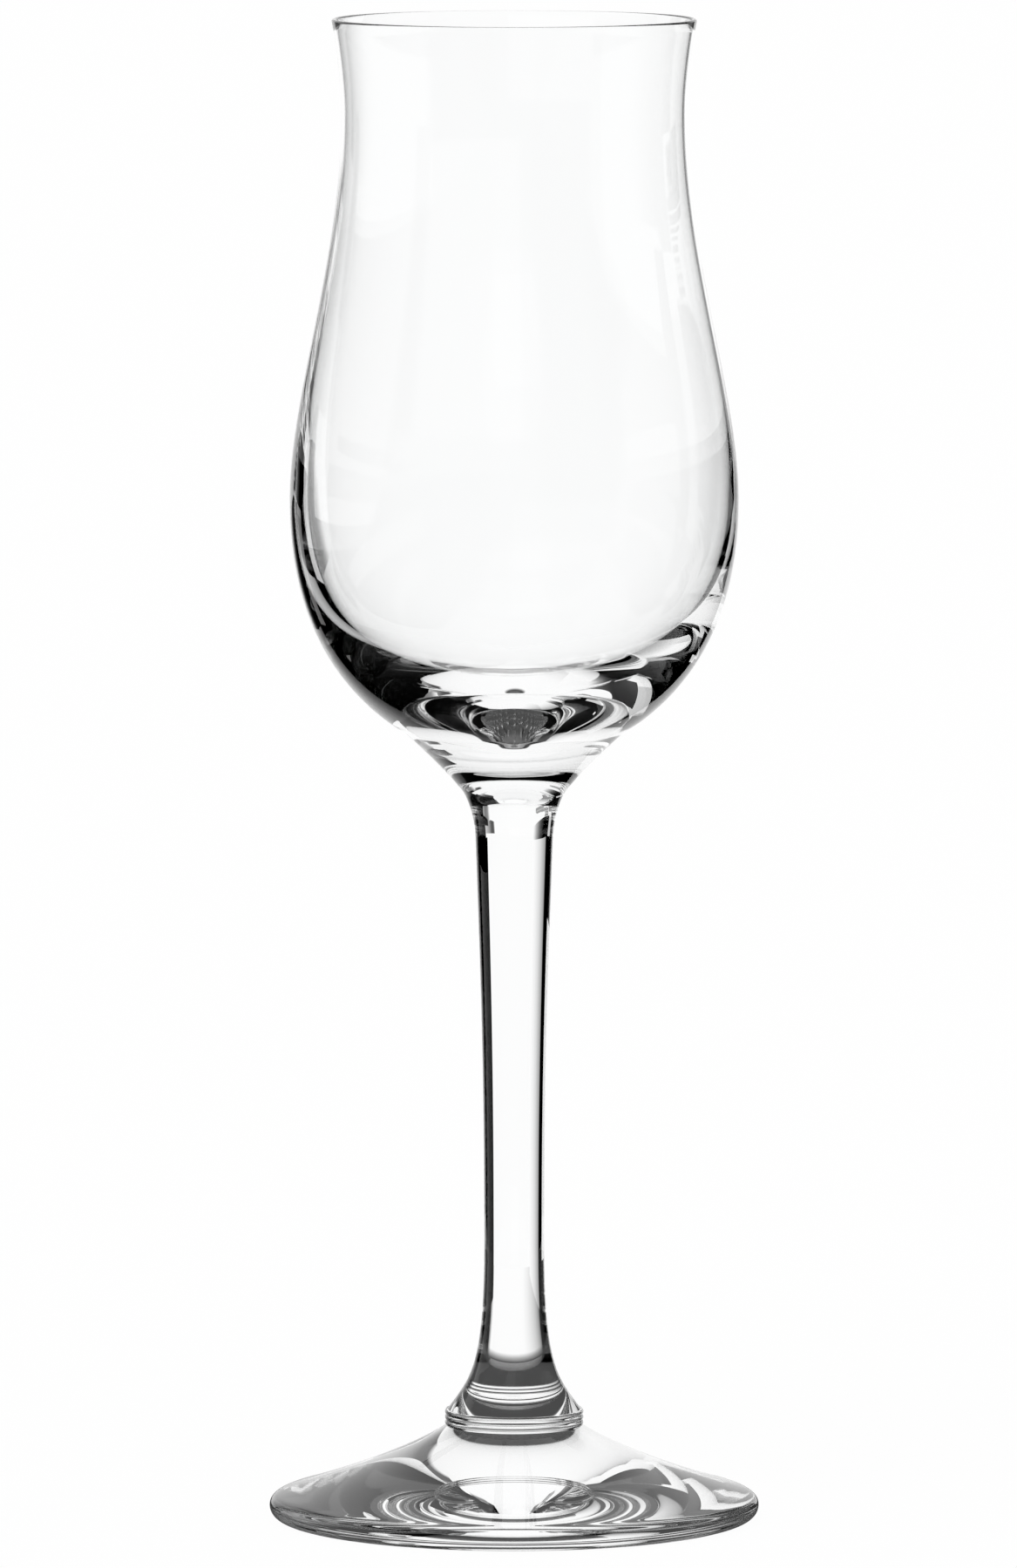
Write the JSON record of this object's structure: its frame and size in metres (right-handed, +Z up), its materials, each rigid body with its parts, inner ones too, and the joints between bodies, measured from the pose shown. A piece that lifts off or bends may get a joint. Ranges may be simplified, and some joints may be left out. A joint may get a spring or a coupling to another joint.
{
  "type": "schnapps glass",
  "caption": "Tall tulip schnapps glass in clear glass: thin flared rim, rounded belly, heavy base, slim drawn stem and a dished round foot.",
  "frame": {"origin": "centre of the foot, on the surface that the glass stands on", "axes": "+Z up along the axis of the glass, from the foot to the rim; the shape is turned, so X and Y are alike"},
  "size_m": [0.0604, 0.0604, 0.185],
  "materials": {
    "clear_glass": "polished"
  },
  "bodies": {
    "root": {"bowl": "clear_glass", "stem": "clear_glass", "foot": "clear_glass"}
  },
  "joints": []
}
